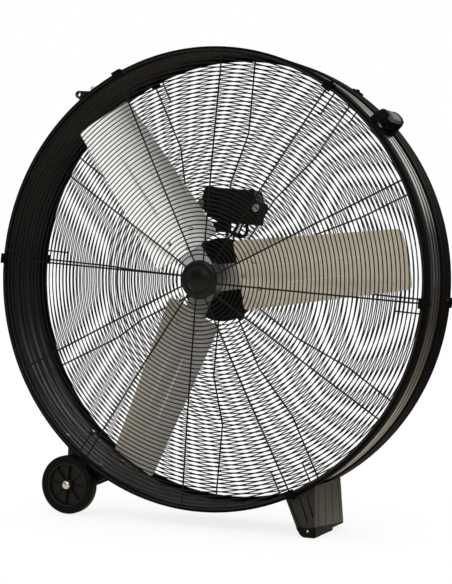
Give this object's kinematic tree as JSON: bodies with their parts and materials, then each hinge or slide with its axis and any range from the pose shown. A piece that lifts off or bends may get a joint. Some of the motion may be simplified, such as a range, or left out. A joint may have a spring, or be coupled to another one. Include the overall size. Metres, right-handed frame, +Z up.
{
  "type": "drum fan",
  "caption": "Large portable drum fan: a rolled steel drum with domed wire guards, sheet-metal blades, a rear motor, a transport wheel, a moulded foot and a carrying handle.",
  "frame": {"origin": "centre of the footprint box on the floor, below the drum's axis", "axes": "+Z up, +Y from the guarded front to the back, +X to the right seen from the front"},
  "size_m": [1.1108, 0.2276, 1.1376],
  "materials": {
    "enamel": "satin black enamel on sheet steel",
    "wire": "satin black coated steel wire",
    "badge_plastic": "black moulded plastic",
    "grey_metal": "blue-grey bare steel",
    "galvanised": "dull galvanised sheet",
    "plated": "bright plated fasteners",
    "black_plastic": "black moulded plastic",
    "grey_plastic": "grey textured grip plastic",
    "black_rubber": "matt black rubber"
  },
  "bodies": {
    "frame": {"drum_shell": "enamel", "front_guard": "wire", "rear_guard": "wire", "hub_badge": "badge_plastic", "badge_washer": "grey_metal", "front_clip_1": "enamel", "front_clip_2": "enamel", "front_clip_3": "enamel", "front_clip_4": "enamel", "front_clip_5": "enamel", "front_clip_6": "enamel", "rear_clip_1": "enamel", "rear_clip_2": "enamel", "rear_clip_3": "enamel", "rear_clip_4": "enamel", "rear_clip_5": "enamel", "rear_clip_6": "enamel", "motor_plate": "enamel", "motor_bell": "enamel", "motor_shell": "enamel", "motor_rear_cap": "enamel", "motor_bolt_1": "plated", "motor_bolt_2": "plated", "motor_bolt_3": "plated", "motor_bolt_4": "plated", "switch_box": "black_plastic", "switch_box_cover": "black_plastic", "cable_gland": "black_plastic", "box_screw_1": "plated", "box_screw_2": "plated", "motor_lead": "black_rubber", "wheel_bracket": "enamel", "wheel_axle": "grey_metal", "axle_cap": "plated", "bracket_bolt_1": "plated", "bracket_bolt_2": "plated", "bracket_bolt_3": "plated", "bracket_bolt_4": "plated", "foot_body": "black_plastic", "foot_pad": "black_rubber", "foot_bolt_1": "plated", "foot_bolt_2": "plated", "handle_bracket_front": "black_plastic", "handle_bracket_rear": "black_plastic", "handle_grip": "grey_plastic", "handle_screw_1": "plated", "handle_screw_2": "plated", "cord_hook": "enamel", "hook_screw": "plated"},
    "rotor": {"motor_shaft": "grey_metal", "blade_hub": "grey_metal", "blade_1": "galvanised", "blade_2": "galvanised", "blade_3": "galvanised"},
    "wheel": {"transport_wheel": "black_plastic"},
    "knob": {"speed_knob": "black_plastic"}
  },
  "joints": [
    {"name": "rotor_spin", "type": "hinge", "parent": "frame", "child": "rotor", "pos_m": [0, 0, 0.58763], "axis": [0, 1, 0], "continuous": true},
    {"name": "wheel_spin", "type": "hinge", "parent": "frame", "child": "wheel", "pos_m": [-0.365, -0.0612, 0.0723], "axis": [0, 1, 0], "continuous": true},
    {"name": "knob_turn", "type": "hinge", "parent": "frame", "child": "knob", "pos_m": [-0.00897, 0.088, 0.77471], "axis": [0, 1, 0], "range_deg": [0, 135]}
  ]
}
